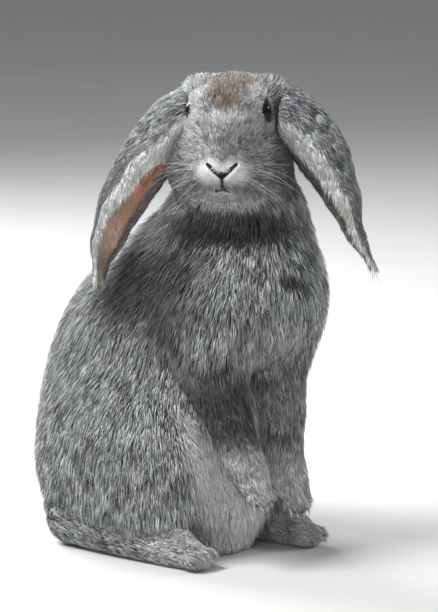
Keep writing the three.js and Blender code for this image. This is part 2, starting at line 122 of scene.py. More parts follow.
Ear = namedtuple("Ear", "curve front back radius")
EARS = {
    "right": Ear(
        (
            (20, 34, 20), (34, 32, 11), (53, 26, -9), (70, 20, -35),
            (84, 15, -62), (93, 12, -88), (99, 11, -116),
        ),
        (-60, -40, -5, 25, 50),
        (275, 260, 250, 238, 195),
        (13, 19, 19.5, 17.5, 13, 5.5),
    ),
    "left": Ear(
        (
            (20, 34, 20), (35, 32, 11), (53, 27, -6), (68, 21, -29),
            (80, 16, -54), (90, 12, -80), (103, 10, -104),
        ),
        (-60, -35, -12, 10, 45),
        (275, 258, 245, 230, 190),
        (14, 20, 20, 15, 8.5, 4),
    ),
}
EAR_THICKNESS = {"base": 6, "tip": 3.2, "margin": 0.42}
EAR_COAT = 1.7  # what the coat takes of that, on both faces together
EAR_STEPS = (70, 30)
EAR_END = 0.985  # how far along its curve an ear's mesh ends
EAR_EDGES = (0.006, 0.994)  # how near to its margins tufts grow

# ---- distances


def norm(v):
    return np.linalg.norm(v, axis=-1)


def unit(v):
    return v / np.maximum(norm(v)[..., None], 1e-9)


def smoothstep(low, high, v):
    t = np.clip((v - low) / (high - low), 0, 1)
    return t * t * (3 - 2 * t)


def smooth_union(a, b, reach):
    near = np.maximum(reach - np.abs(a - b), 0) / reach
    return np.minimum(a, b) - near * near * reach / 4


def turned(v, angle, first, second):
    """Vectors turned from one axis to another."""
    c, s = math.cos(angle), math.sin(angle)
    v = v.copy()
    v[..., first], v[..., second] = (
        c * v[..., first] - s * v[..., second],
        s * v[..., first] + c * v[..., second],
    )
    return v


def ellipsoid(p, at, radii, pitch=0):
    q = turned(p - np.array(at, p.dtype), -math.radians(pitch), 1, 2)
    r = np.array(radii, p.dtype)
    q = q / r
    reach = np.sqrt((q * q).sum(-1))
    q = q / r
    return reach * (reach - 1) / np.maximum(np.sqrt((q * q).sum(-1)), 1e-9)


def segment(p, a, b):
    """The distance to a segment, how far along it the nearest point is, and its direction."""
    a, d = np.array(a, p.dtype), np.subtract(b, a).astype(p.dtype)
    t = np.clip(((p - a) @ d) / (d @ d), 0, 1)
    return norm(p - a - t[..., None] * d), t, unit(d)


def limb(p, stations):
    """Distance to a tapered limb, and the way it runs at the nearest point."""
    nearest = np.full(p.shape[:-1], 1e9, p.dtype)
    run = np.zeros(p.shape, p.dtype)
    for (*a, ra), (*b, rb) in zip(stations, stations[1:]):
        off, t, way = segment(p, a, b)
        off = off - (ra + t * (rb - ra))
        run[off < nearest] = way
        nearest = np.minimum(off, nearest)
    return nearest, run


def mirrored(at, x):
    return (at[0] * x, *at[1:])


def to_head(p):
    return turned(p - HEAD_AT.astype(p.dtype), -HEAD_TURN, 0, 1)


def from_head(q, is_point=True):
    p = turned(q, HEAD_TURN, 0, 1)
    return p + HEAD_AT if is_point else p


def toe_places(end, before, toes):
    """Where the toes of one paw stand, and the way they point."""
    end = np.array(end[:3], float)
    ahead = unit(end - np.array(before[:3], float))
    across = unit(np.array((1.0, 0, 0)) - ahead[0] * ahead)
    steps = np.arange(TOES) - (TOES - 1) / 2
    lead = toes.radii[1] * (0.55 - 0.12 * steps**2)
    return end + steps[:, None] * toes.gap * across + lead[:, None] * ahead, ahead


# One part of the body: its distance, less the coat's depth, and how its coat grows.
Part = namedtuple("Part", "name distance blend depth fur lie")

NOSE = np.array((0.0, -48.0, -24.0))  # in the head's frame: the coat of the head runs away from here


def lie_of(form):
    """The way a form's coat runs, as a function of the place."""
    if form.lie is None:
        return lambda p: unit(p - NOSE)
    return lambda p: np.broadcast_to(unit(np.array(form.lie, float)), p.shape)


def form_parts(forms, paired):
    rows = [(name, f, f.at) for name, f in forms.items()]
    for x in SIDES.values():
        rows += [(name, f, mirrored(f.at, x)) for name, f in paired.items()]
    distance = lambda f, at: lambda p: ellipsoid(p, at, f.radii, f.pitch) + f.depth
    return [Part(name, distance(f, at), f.blend, f.depth, f.fur, lie_of(f)) for name, f, at in rows]


def limb_part(name, stations, depth, blend, fur):
    distance = lambda p: limb(p, stations)[0] + depth
    return Part(name, distance, blend, depth, fur, lambda p: limb(p, stations)[1])


def paw_part(name, stations, before, toes, depth, blend, fur):
    places, _ = toe_places(stations[-1], before, toes)

    def distance(p):
        d = limb(p, stations)[0]
        for place in places:
            d = smooth_union(d, ellipsoid(p, place, toes.radii), toes.blend)
        return d + depth

    return limb_part(name, stations, depth, blend, fur)._replace(distance=distance)


def body_parts():
    parts = form_parts(BODY_FORMS, PAIRED_FORMS)
    for name, x in SIDES.items():
        leg = FORELEGS[name]
        foot = [mirrored(s, x) for s in HIND_FOOT]
        parts.append(limb_part("foreleg", leg[: WRIST + 1], 4, 14, 12))
        parts.append(paw_part("forepaw", leg[WRIST:], leg[WRIST], FORE_TOES, 2, 3, 8.5))
        parts.append(paw_part("hind_foot", foot, foot[-2], HIND_TOES, 2.5, 16, 9))
    parts.append(limb_part("tail", TAIL, 5, 6, 15))
    return parts


BODY_PARTS = body_parts()
HEAD_PARTS = form_parts(HEAD_FORMS, PAIRED_HEAD_FORMS)


def joined(parts, p):
    d = None
    for part in parts:
        this = part.distance(p)
        d = this if d is None else smooth_union(d, this, part.blend)
    return d


# ---- the face's own shapes

LID = 1.3  # how far a lid stands over the eyeball
LID_BLEND = 8
LID_MARGIN = (-1.0, 0.5)  # where, from the edge of the opening, its surface dips under the eyeball
UNDER_EYE = 1.0
EYE_OPENING = (8.8, 8.2)  # half its length and half its height

# A groove of the face: its line in x and z, seen from the front, and its depth, width and furless reach.
Groove = namedtuple("Groove", "line depth width bare")
NOSTRIL = Groove(((0.9, -31.0), (5.6, -26.6), (10.2, -22.0)), 1.9, 1.0, 1.6)
PHILTRUM = Groove(((0.0, -30.5), (0.0, -40.0)), 1.6, 1.1, 1.0)
MOUTH = Groove(((0.0, -40.0), (2.4, -40.9), (4.8, -41.8)), 2.0, 1.2, 1.7)
GROOVES = (NOSTRIL, PHILTRUM, MOUTH)
NOSE_WEDGE = {"apex": -32.8, "top": -27.2, "spread": 0.95}  # the dark skin between the nostrils


def from_groove(side, z, groove):
    """How far a point is, seen from the front, from the line of a groove."""
    p = np.stack((side, z), -1)
    return np.min([segment(p, a, b)[0] for a, b in zip(groove.line, groove.line[1:])], axis=0)


def wedge_distance(side, z):
    """About how far a point is, seen from the front, outside the dark wedge of the nose."""
    return np.maximum(side - NOSE_WEDGE["spread"] * (z - NOSE_WEDGE["apex"]), z - NOSE_WEDGE["top"])


def eye_frame(x):
    """The eye's centre, and unit vectors along its gaze, along the slit of the lids and across it."""
    at = EYE_AT * (x, 1, 1)
    gaze = unit(EYE_GAZE * (x, 1, 1))
    slit = unit(np.cross(gaze, (0, 0, 1.0)))
    return at, gaze, slit, np.cross(slit, gaze)


def from_eyes(q):
    """For each eye: points seen from its centre, how far off they are, and the eye's three axes."""
    for x in SIDES.values():
        at, *axes = eye_frame(x)
        yield q - at, norm(q - at), axes


def from_opening(e, axes):
    """How far outside the opening of the lids a point is."""
    _, slit, across = axes
    a, b = e @ slit / EYE_OPENING[0], e @ across / EYE_OPENING[1]
    return (np.sqrt(a * a + b * b) - 1) * min(EYE_OPENING)


def with_face(q, d):
    """Adds lids round the eyes, and the grooves of the nose and mouth."""
    for e, out, axes in from_eyes(q):
        d = smooth_union(d, out - (EYE_RADIUS + LID), LID_BLEND)
        beyond = from_opening(e, axes)
        lid = (LID + UNDER_EYE) * smoothstep(*LID_MARGIN, beyond) - UNDER_EYE
        lid = lid + 1.2 * np.maximum(beyond - LID_MARGIN[1], 0) + 2 * np.maximum(4 - e @ axes[0], 0)
        d = np.maximum(d, out - (EYE_RADIUS + lid))
    side = np.abs(q[..., 0])
    front = smoothstep(-26, -34, q[..., 1])
    for groove in GROOVES:
        off = from_groove(side, q[..., 2], groove) / groove.width
        d = d + front * groove.depth * np.exp(-(off**2))
    return d


def skin_distance(p, detailed=True):
    q = to_head(p)
    d = smooth_union(joined(BODY_PARTS, p), joined(HEAD_PARTS, q), HEAD_BLEND)
    if detailed:
        d = with_face(q, d)
    return np.maximum(d, SOLE - p[..., 2])


def settle(p, rounds=2):
    """Moves points onto the skin."""
    probe = 0.1
    for _ in range(rounds):
        d = skin_distance(p)
        slope = np.stack([(skin_distance(p + probe * axis) - d) / probe for axis in np.eye(3)], -1)
        steep = np.maximum((slope * slope).sum(-1), 0.2)
        p = p - np.clip(d / steep, -1.5, 1.5)[:, None] * slope
    return p


# ---- the skin


def new_mesh(name, points, faces):
    mesh = bpy.data.meshes.new(name)
    mesh.from_pydata((points * MM).tolist(), [], faces)
    return mesh


def new_object(name, data):
    """Puts a mesh, a camera or a light in the scene."""
    made = bpy.data.objects.new(name, data)
    bpy.context.collection.objects.link(made)
    return made


VOXEL = 3.4
GRID_LOW = np.array((-100.0, -215.0, -8.0))
GRID_HIGH = np.array((100.0, 112.0, 385.0))


def coarse_skin():
    """Vertices and quads of the whole skin without the ears, on the grid."""
    size = np.ceil((GRID_HIGH - GRID_LOW) / VOXEL).astype(int)
    axes = [GRID_LOW[k] + VOXEL * np.arange(size[k], dtype=np.float32) for k in range(3)]
    p = np.stack(np.meshgrid(*axes, indexing="ij"), -1).astype(np.float32)
    band = 3 * VOXEL
    grid = openvdb.FloatGrid(band)
    grid.copyFromArray(np.clip(skin_distance(p, detailed=False), -band, band).astype(np.float32))
    grid.transform = openvdb.createLinearTransform(voxelSize=VOXEL)
    points, quads = grid.convertToQuads()
    return points.astype(float) + GRID_LOW, quads


def ear_along(values, t):
    """A value read along an evenly spaced list, eased between its entries."""
    at = np.clip(t, 0, 1) * (len(values) - 1)
    i = np.minimum(at.astype(int), len(values) - 2)
    v = np.array(values, float)
    return v[i] + (v[i + 1] - v[i]) * smoothstep(0, 1, at - i)


def ear_curve(points, t):
    """Point and direction at t, by length, on a smooth curve through the points."""
    v = np.array(points, float)
    v = np.concatenate(([2 * v[0] - v[1]], v, [2 * v[-1] - v[-2]]))
    fine = np.linspace(0, len(points) - 1, 400)
    i = np.minimum(fine.astype(int), len(points) - 2)
    f = (fine - i)[:, None]
    a, b, c, d = v[i], v[i + 1], v[i + 2], v[i + 3]
    line = b + 0.5 * f * (c - a + f * (2 * a - 5 * b + 4 * c - d + f * (3 * (b - c) + d - a)))
    lengths = np.concatenate(([0], np.cumsum(norm(np.diff(line, axis=0)))))
    way = unit(np.gradient(line, axis=0))
    at = t * lengths[-1]
    return (
        np.stack([np.interp(at, lengths, line[:, k]) for k in range(3)], -1),
        unit(np.stack([np.interp(at, lengths, way[:, k]) for k in range(3)], -1)),
    )


def ear_surface(name, s, a, layer):
    """Points on an ear. s: from root to tip, a: from front to back margin, layer: -0.5 on the inside."""
    ear, x = EARS[name], SIDES[name]
    middle, run = ear_curve([mirrored(p, x) for p in ear.curve], s)
    ahead = unit(np.array((0.0, -1, 0)) - run * -run[..., 1:2])
    outward = np.cross(ahead, run) * x
    front, back = ear_along(ear.front, s), ear_along(ear.back, s)
    angle = np.radians(front + (back - front) * a)[..., None]
    edge = EAR_THICKNESS["margin"] + (1 - EAR_THICKNESS["margin"]) * np.sqrt(np.sin(np.pi * a))
    thick = (EAR_THICKNESS["base"] + (EAR_THICKNESS["tip"] - EAR_THICKNESS["base"]) * s) * edge
    reach = ear_along(ear.radius, s) - 0.4 + layer * np.maximum(thick - EAR_COAT, 0.9)
    out = ahead * np.cos(angle) + outward * np.sin(angle)
    return from_head(middle + out * reach[..., None])


LINING = 2  # the index of the third of the skin's materials


def skin_materials(mesh):
    """The skin's three materials: the body's, the backs of the ears and the insides of the ears."""
    for build in (skin_material, skin_material, ear_skin_material):
        mesh.materials.append(build())


def ear_object(name):
    """The ear's plate as a closed mesh."""
    along, across = EAR_STEPS
    s, a = np.meshgrid(np.linspace(0, EAR_END, along), np.linspace(0.02, 0.98, across), indexing="ij")
    sheets = [ear_surface(name, s, a, layer).reshape(-1, 3) for layer in (-0.5, 0.5)]
    count = along * across
    corner = lambda i, j: i * across + j
    faces = []
    for i in range(along - 1):
        for j in range(across - 1):
            quad = [corner(i, j), corner(i + 1, j), corner(i + 1, j + 1), corner(i, j + 1)]
            faces += [quad, [v + count for v in reversed(quad)]]
    rim = [corner(0, j) for j in range(across)]
    rim += [corner(i, across - 1) for i in range(1, along)]
    rim += [corner(along - 1, j) for j in range(across - 2, -1, -1)]
    rim += [corner(i, 0) for i in range(along - 2, 0, -1)]
    faces += [[a, b, b + count, a + count] for a, b in zip(rim, rim[1:] + rim[:1])]
    mesh = new_mesh("ear_" + name, np.concatenate(sheets), faces)
    skin_materials(mesh)
    inside = 2 * (along - 1) * (across - 1)
    index = np.ones(len(faces), np.int32)
    index[:inside:2] = LINING
    mesh.polygons.foreach_set("material_index", index)
    fixed = bmesh.new()
    fixed.from_mesh(mesh)
    bmesh.ops.recalc_face_normals(fixed, faces=fixed.faces)
    fixed.to_mesh(mesh)
    fixed.free()
    return new_object("ear_plate_" + name, mesh)


def refine(bm, wanted):
    """Halves the edges of the wanted faces."""
    centres = np.array([f.calc_center_median() for f in bm.faces]) / MM
    faces = [f for f, keep in zip(bm.faces, wanted(centres)) if keep]
    edges = list({e for f in faces for e in f.edges})
    bmesh.ops.subdivide_edges(bm, edges=edges, cuts=1, use_grid_fill=True)


def near(p, places, reach):
    """Where points are, as yes or no, near any of some places."""
    return np.any([norm(p - np.array(place[:3])) < reach for place in places], axis=0)


def on_head(p):
    q = to_head(p)
    return (q[:, 1] < 30) & (q[:, 2] > -58) & (norm(q * (1, 1, 0.9)) < 68)


def on_feet(p):
    hind = [mirrored(HIND_FOOT[-1], x) for x in SIDES.values()]
    return near(p, [leg[-1] for leg in FORELEGS.values()], 30) | near(p, hind, 28)


def on_features(p, reach):
    """Round the eyes and the nose."""
    q = to_head(p)
    eyes = [(EYE_AT + 0.6 * EYE_RADIUS * EYE_GAZE) * (x, 1, 1) for x in SIDES.values()]
    return near(q, [(0, -42, -27)], 1.6 * reach) | near(q, eyes, reach)


def settle_mesh(bm):
    """Moves a mesh's points onto the skin."""
    bm.verts.ensure_lookup_table()
    p = settle(np.array([v.co for v in bm.verts]) / MM)
    for v, at in zip(bm.verts, p * MM):
        v.co = at


def make_skin():
    """The whole skin without the ears, finer on the head and feet, and finest round eyes and nose."""
    points, quads = coarse_skin()
    mesh = new_mesh("skin", points, quads.tolist())
    bm = bmesh.new()
    bm.from_mesh(mesh)
    for wanted in (
        lambda p: on_head(p) | on_feet(p),
        lambda p: on_features(p, 22),
        lambda p: on_features(p, 14),
    ):
        refine(bm, wanted)
        settle_mesh(bm)
    bmesh.ops.recalc_face_normals(bm, faces=bm.faces)
    bm.to_mesh(mesh)
    bm.free()
    skin_materials(mesh)
    return new_object("skin", mesh)


def join_ears(skin):
    ears = [ear_object(name) for name in SIDES]
    for ear in ears:
        union = skin.modifiers.new("ear", "BOOLEAN")
        union.operation = "UNION"
        union.solver = "MANIFOLD"
        union.object = ear
    graph = bpy.context.evaluated_depsgraph_get()
    whole = bpy.data.meshes.new_from_object(skin.evaluated_get(graph))
    skin.modifiers.clear()
    skin.data = whole
    for ear in ears:
        bpy.data.objects.remove(ear)
    whole.shade_smooth()


# ---- the coat's colours

# sRGB, as shares of 1.
COLOURS = {
    "silver": (0.88, 0.89, 0.90),
    "slate": (0.27, 0.28, 0.30),
    "soot": (0.10, 0.10, 0.11),
    "white": (0.97, 0.97, 0.96),
    "ash": (0.68, 0.69, 0.70),
    "cream": (0.92, 0.84, 0.74),
    "fawn": (0.67, 0.60, 0.53),
    "umber": (0.25, 0.21, 0.18),
    "rose": (1.0, 0.50, 0.30),
    "flesh": (0.92, 0.77, 0.71),
    "liver": (0.20, 0.11, 0.08),
    "stain": (0.55, 0.42, 0.30),
}


# A coat's pale and dark tones.
PALE, SOOTY, BROWN, SNOWY = ("white", "ash"), ("slate", "soot"), ("fawn", "umber"), ("white", "silver")
GREYED, STAINED = ("ash", "soot"), ("stain", "liver")


def linear(name):
    c = np.array(COLOURS[name])
    return np.where(c > 0.04045, ((c + 0.055) / 1.055) ** 2.4, c / 12.92)


# Where the white of the belly begins on each side, as -|x| - y, at heights over the floor.
APRON_HEIGHTS = (10, 27, 55, 84, 112, 140)
APRON_EDGE = (80, 76, 67, 58, 44, 60)
SPREAD = 6.0  # how far, in mm, one part's coat runs over into the next one's

# What the coat is like at each point: its lie, the length of a tuft, its depth, and each part's share.
Growth = namedtuple("Growth", "lie fur depth share")


def growth(p):
    q = to_head(p)
    rows = [(part, p, False) for part in BODY_PARTS] + [(part, q, True) for part in HEAD_PARTS]
    d = np.stack([part.distance(at) for part, at, _ in rows])
    w = np.exp(-(d - d.min(0)) / SPREAD)
    w = w / w.sum(0)
    lie = np.zeros(p.shape)
    share = {}
    for k, (part, at, on_head) in enumerate(rows):
        run = part.lie(at)
        lie += w[k][:, None] * (from_head(run, is_point=False) if on_head else run)
        share[part.name] = share.get(part.name, 0) + w[k]
    fur = sum(w[k] * part.fur for k, (part, *_) in enumerate(rows))
    depth = sum(w[k] * part.depth for k, (part, *_) in enumerate(rows))
    return Growth(lie, fur, depth, share)


def blob(q, at, radii, soft=0.5):
    """1 inside an ellipsoid, fading to 0 outside it."""
    far = norm((q - np.array(at)) / np.array(radii))
    return smoothstep(1 + soft, 1 - soft, far)


def blobs(q, at, radii, soft=0.5):
    """The same on both sides of the animal."""
    return np.maximum(blob(q, at, radii, soft), blob(q, mirrored(at, -1), radii, soft))


def mix(a, b, t):
    return a + (b - a) * np.asarray(t)[..., None]


def base_shade(dark):
    """How a tuft's root compares with its middle: pale fur stays pale down to the skin."""
    return 0.5 + 0.45 * np.minimum(dark.mean(-1), 1)


class Tones:
    """The coat's pale and dark tones at points of the animal, as they are painted over."""

    def __init__(self, p, normal, share):
        self.p, self.q, self.normal, self.share = p, to_head(p), normal, share
        self.right = p[:, 0] < 0
        self.ahead, self.down = -normal[:, 1], -normal[:, 2]
        self.pale = np.broadcast_to(linear("silver"), p.shape)
        self.dark = np.broadcast_to(linear("slate"), p.shape)

    def of(self, *names):
        return sum(self.share[name] for name in names)

    def paint(self, where, pale, dark):
        self.pale = mix(self.pale, linear(pale), where)
        self.dark = mix(self.dark, linear(dark), where)


def mark_trunk(t):
    """A white belly, a pale patch low on the chest, a darker chest, and darker shoulders with painted ear
    shadow.
    """
    p = t.p
    trunk = 1 - t.of("foreleg", "forepaw", "hind_foot", "tail", "neck", "withers")
    edge = np.interp(p[:, 2], APRON_HEIGHTS, APRON_EDGE)
    apron = smoothstep(-6, 9, -np.abs(p[:, 0]) - p[:, 1] - edge) * smoothstep(132, 106, p[:, 2])
    t.paint(trunk * apron, *SNOWY)
    t.paint(trunk * blob(p, (-14, -165, 158), (30, 30, 36), 0.6) * 0.6, *PALE)
    # Darker fur on the shoulders with the painted shadow of the ears over it, deeper on the right side.
    dark_fur_and_ear_shadow = np.maximum(blobs(p, (44, -96, 208), (30, 36, 46)), blobs(p, (56, -58, 214), (26, 40, 36)))
    dark_fur_and_ear_shadow = dark_fur_and_ear_shadow * t.of("shoulder", "back", "withers", "chest", "neck", "loin")
    t.paint(dark_fur_and_ear_shadow * np.where(t.right, 0.85, 0.5), *SOOTY)
    t.paint(t.of("chest", "neck", "shoulder") * 0.3, *GREYED)


def mark_legs(t):
    """The forelegs are dark down to their pale paws, the right one deepened with painted shade, and the soles
    are stained brown.
    """
    p, legs = t.p, t.of("foreleg", "forepaw")
    inner = smoothstep(0.1, 0.7, -t.normal[:, 0] * np.sign(p[:, 0]))
    paw = np.where(t.right, smoothstep(106, 80, p[:, 2]), smoothstep(98, 66, p[:, 2]))
    # Dark fur on the forelegs, with painted shade deepening it on the right one.
    dark_fur_and_shade = np.where(t.right, 0.85, 0.3) * (1 - paw)
    t.paint(legs * dark_fur_and_shade, *SOOTY)
    t.paint(legs * dark_fur_and_shade * 0.2, *BROWN)
    # Darker fur with painted shade on the outer side of the upper forelegs.
    t.paint(blobs(p, (36, -132, 140), (20, 26, 26), 0.6) * (1 - inner) * dark_fur_and_shade * 0.6, *SOOTY)
    t.paint(legs * paw * 0.5, *PALE)
    under = t.of("forepaw") * smoothstep(0.25, 0.6, t.down - 0.5 * t.ahead)
    t.paint(under * 0.9, *STAINED)
    t.paint(t.of("hind_foot") * smoothstep(-60, -110, p[:, 1]) * 0.6, *PALE)


def mark_tail(t):
    """The tail is dark behind and white on the side that it shows when it is raised."""
    t.paint(t.of("tail"), "silver", "soot")
    shown = smoothstep(0.0, 0.5, t.normal[:, 1] * 0.6 + t.ahead + t.down * 0.6)
    t.paint(t.of("tail") * shown, *SNOWY)


def mark_head(t):
    """A brown crown over a pale band, a white muzzle and chin, and painted shade on the throat, behind the
    eyes and at the cheeks' edges.
    """
    q, head = t.q, t.of(*HEAD_FORMS, *PAIRED_HEAD_FORMS)
    # The throat: painted shadow under the chin.
    t.paint(blob(q, (0, -16, -65), (48, 40, 14), 0.4), *SOOTY)  # the throat
    t.paint(head * 0.3, *GREYED)
    t.paint(t.of("cheek") * 0.35, *GREYED)
    crown = np.maximum(blob(q, (0, -18, 21), (11, 22, 9), 0.3), blob(q, (0, -6, 34), (21, 26, 10), 0.3))
    t.paint(head * crown * 0.9, *BROWN)
    t.paint(head * blob(q, (0, -28, 9), (17, 12, 4), 0.5) * 0.75, *PALE)  # the band under it
    t.paint(head * blobs(q, (19, -10, 28), (6, 16, 10)) * 0.45, *PALE)  # the brows
    t.paint(head * blob(q, (0, -40, -10), (7, 9, 8), 0.4) * 0.35, *BROWN)  # over the nose
    t.paint(head * blobs(q, (22, -22, 12), (5, 7, 13), 0.4) * 0.55, *PALE)  # before the eyes
    # Painted shadow behind the eyes, between the cheeks and the ears' roots.
    t.paint(head * blobs(q, (32, 10, 0), (10, 13, 24), 0.4) * 0.9, *SOOTY)  # behind the eyes
    t.paint(head * blobs(q, (8.5, -45, -27.5), (10, 14, 8.2), 0.4), *SNOWY)  # the muzzle
    t.paint(head * blob(q, (0, -34, -48), (26, 26, 7), 0.5) * 0.75, *PALE)  # the chin
    # Painted shade on the cheeks' edges, where the ears hang beside them.
    t.paint(head * blobs(q, (39, -2, -28), (13, 26, 26), 0.5) * 0.9, *SOOTY)  # the cheeks' edges


def markings(p, normal, share):
    """The coat's pale and dark tones at each point of the animal, with painted shade and shadow among them.
    """
    tones = Tones(p, normal, share)
    for mark in (mark_trunk, mark_legs, mark_tail, mark_head):
        mark(tones)
    return tones.pale, tones.dark


# ---- the coat's tufts

COVER = 6.7  # how many tufts deep the coat lies
LOCK_TUFTS = 5  # a lock has COVER times this many tufts
LOCK_SIZE = 7.0  # in mm: tufts further than twice this from a lock's leader stay out of it
GATHER = 0.24  # how far a tuft's tip is drawn to its leader's
STRAY = 0.2  # how far tufts turn off the lie of the coat
LENGTHS, WIDTHS = (0.72, 1.2), (0.7, 1.3)  # as shares of the usual
STEEPEST = 0.85  # the most that a tuft rises, as a share of its length
BEND_AT, BEND_OUT = 0.45, 0.22  # as shares of a tuft's length and of its rise
TONE, TUFT_TONE, LOCK_TONE = 0.56, 0.27, 0.16  # the mean from dark to pale, and how tufts and locks vary
DARK_TIPS = 0.3  # the share of tufts with a dark tip
FLATNESS = 0.4  # how thick a tuft is for its width
TUFT_POINTS = 7  # three round the root, three round the bend, and the tip
BENT_FROM = 7.5  # shorter tufts are straight
EAR_ROOT_LIFT = 2.5  # how much further the loose fur round the ears' roots stands out
MOST_TUFTS = 19000  # in one piece of coat
PATCH = 0.003  # the side of a tuft's patch on the skin's unwrap
COAT_GROUPS = {
    "body": (*BODY_FORMS, *PAIRED_FORMS, "tail"),
    "face": (*HEAD_FORMS, *PAIRED_HEAD_FORMS),
    "feet": ("foreleg", "forepaw", "hind_foot"),
}

Tufts = namedtuple("Tufts", "root bend tip side up width pale dark tone uv shade")

# How a coat stands: its tufts' rise as shares of its depth, how deep the roots are sunk in the skin, and
# whether each tip is drawn to its own height over the skin.
Stand = namedtuple("Stand", "rise sunk levelled")
ON_BODY = Stand((0.55, 1.12), 0.5, True)
ON_EARS = Stand((0.5, 1.15), 0.3, False)


def read(items, name, kind=float, width=1):
    """One attribute of all the items, as an array."""
    values = np.empty(len(items) * width, kind)
    items.foreach_get(name, values)
    return values.reshape(-1, width) if width > 1 else values


def vertex_arrays(mesh):
    """The places, in mm, and the normals of a mesh's points."""
    return read(mesh.vertices, "co", width=3) / MM, read(mesh.vertices, "normal", width=3)


def triangle_arrays(mesh):
    """A mesh's triangles: their corners, their materials and their corners' UVs."""
    mesh.calc_loop_triangles()
    triangles = mesh.loop_triangles
    material = read(mesh.polygons, "material_index", np.int64)
    uv = read(mesh.uv_layers.active.data, "uv", width=2)
    return (
        read(triangles, "vertices", np.int64, 3),
        material[read(triangles, "polygon_index", np.int64)],
        uv[read(triangles, "loops", np.int64, 3)],
    )


def scatter(at, corners, density):
    """Picks triangles by area and density, and a random place in each: indices and corner weights."""
    a, b, c = at[corners[:, 0]], at[corners[:, 1]], at[corners[:, 2]]
    area = norm(np.cross(b - a, c - a)) / 2
    total = np.cumsum(area * density)
    count = int(total[-1])
    picked = np.searchsorted(total, (np.arange(count) + 0.5) * total[-1] / count)
    u, v = rng.random(count), rng.random(count)
    flip = u + v > 1
    u, v = np.where(flip, 1 - u, u), np.where(flip, 1 - v, v)
    return picked, np.stack((1 - u - v, u, v), -1)


def tuft_width(fur):
    return 0.36 + 0.03 * fur


def cover(share):
    """How many tufts deep the coat lies: less on the feet, where it is hidden or pressed flat."""
    return COVER * (1 - 0.35 * share["hind_foot"])


def eye_clearance(p):
    """How far a point is, in front of the face, from covering either eye's opening."""
    q = to_head(p)
    nearest = np.full(len(p), 1e3)
    for e, out, axes in from_eyes(q):
        before = (e @ axes[0] > 2.5) & (out < EYE_RADIUS + 12)
        nearest = np.minimum(nearest, np.where(before, from_opening(e, axes), 1e3))
    return nearest


def bare(p):
    """Where no tuft grows: the eyes and their lids' edges, the nose, the lips, and under the feet."""
    q = to_head(p)
    none = p[:, 2] < SOLE + 0.4
    for e, out, axes in from_eyes(q):
        none |= (out < EYE_RADIUS + LID + 2) & (from_opening(e, axes) < 1.0) & (e @ axes[0] > 0)
    side = np.abs(q[:, 0])
    front = q[:, 1] < -28
    none |= front & (wedge_distance(side, q[:, 2]) < 0.4)
    for groove in GROOVES:
        none |= front & (from_groove(side, q[:, 2], groove) < groove.bare)
    return none


def tangent(v, normal):
    return unit(v - (v * normal).sum(-1, keepdims=True) * normal)


def gather(root, tip):
    """Draws the tips of neighbouring tufts together into locks, and gives each lock a tone."""
    count = len(root)
    leaders = rng.permutation(count)[: max(int(count / (COVER * LOCK_TUFTS)), 1)]
    tree = KDTree(len(leaders))
    for k, i in enumerate(leaders):
        tree.insert(root[i], k)
    tree.balance()
    mine = leaders[np.array([tree.find(r)[1] for r in root])]
    close = norm(root - root[mine]) < 2 * LOCK_SIZE
    pull = (GATHER * close * rng.uniform(0.4, 1.3, count))[:, None]
    lock_tone = rng.normal(0, 1, count)[mine]
    return tip + (tip[mine] - tip) * pull, lock_tone


def levelled(root, normal, tip, rise):
    """Draws tips to their own height over the skin, and away from the eyes' openings."""
    off = np.clip(rise - skin_distance(tip), -0.6 * rise, 1.5 * rise)
    tip = tip + normal * off[:, None]
    covering = (eye_clearance(tip) < 1.5)[:, None]
    return np.where(covering, root + (tip - root) * 0.45, tip)


def comb(stand, root, normal, lie, fur, depth, pale, dark, uv, shade):
    """Tufts from their roots, lying the way of the coat and rising by its depth."""
    count = len(root)
    lie = tangent(lie, normal)
    lie = unit(lie + np.cross(lie, normal) * rng.normal(0, STRAY, count)[:, None])
    length = fur * rng.uniform(*LENGTHS, count)
    rise = np.minimum(depth * rng.uniform(*stand.rise, count), length * STEEPEST)
    run = np.sqrt(length**2 - rise**2)
    tip = root + lie * run[:, None] + normal * rise[:, None]
    if stand.levelled:
        tip = levelled(root, normal, tip, rise)
    tip, lock_tone = gather(root, tip)
    bend = root + (tip - root) * BEND_AT + normal * (BEND_OUT * rise)[:, None]
    for place in (bend, tip):
        place[:, 2] = np.maximum(place[:, 2], FLOOR_GAP)
    tone = np.clip(TONE + TUFT_TONE * rng.normal(0, 1, count) + LOCK_TONE * lock_tone, 0, 1)
    width = tuft_width(fur) * rng.uniform(*WIDTHS, count)
    side = unit(np.cross(tip - root, normal))
    return Tufts(root - normal * stand.sunk, bend, tip, side, normal, width, pale, dark, tone, uv, shade)


def body_tufts(skin):
    at, normals = vertex_arrays(skin.data)
    corners, material, uv = triangle_arrays(skin.data)
    centre = at[corners].mean(1)
    grown = growth(centre)
    fur = face_fur(centre, grown.fur)
    density = cover(grown.share) / (fur * tuft_width(fur))
    density[(material > 0) | bare(centre)] = 0
    picked, weights = scatter(at, corners, density)
    blend = lambda values: (values * weights[..., None]).sum(1)
    root, normal, patch = blend(at[corners[picked]]), unit(blend(normals[corners[picked]])), blend(uv[picked])
    keep = ~bare(root)
    root, normal, patch = root[keep], normal[keep], patch[keep]
    grown = growth(root)
    pale, dark = markings(root, normal, grown.share)
    fur = face_fur(root, grown.fur)
    depth = grown.depth + EAR_ROOT_LIFT * grown.share["ear_root"]
    tufts = comb(ON_BODY, root, normal, grown.lie, fur, depth, pale, dark, patch, base_shade(dark))
    shares = [sum(grown.share[name] for name in names) for names in COAT_GROUPS.values()]
    group = np.argmax(np.stack(shares), axis=0)
    clear = (eye_clearance(tufts.tip) > 0.7) & (eye_clearance(tufts.bend) > 0.7)
    return Tufts(*(values[clear] for values in tufts)), group[clear]


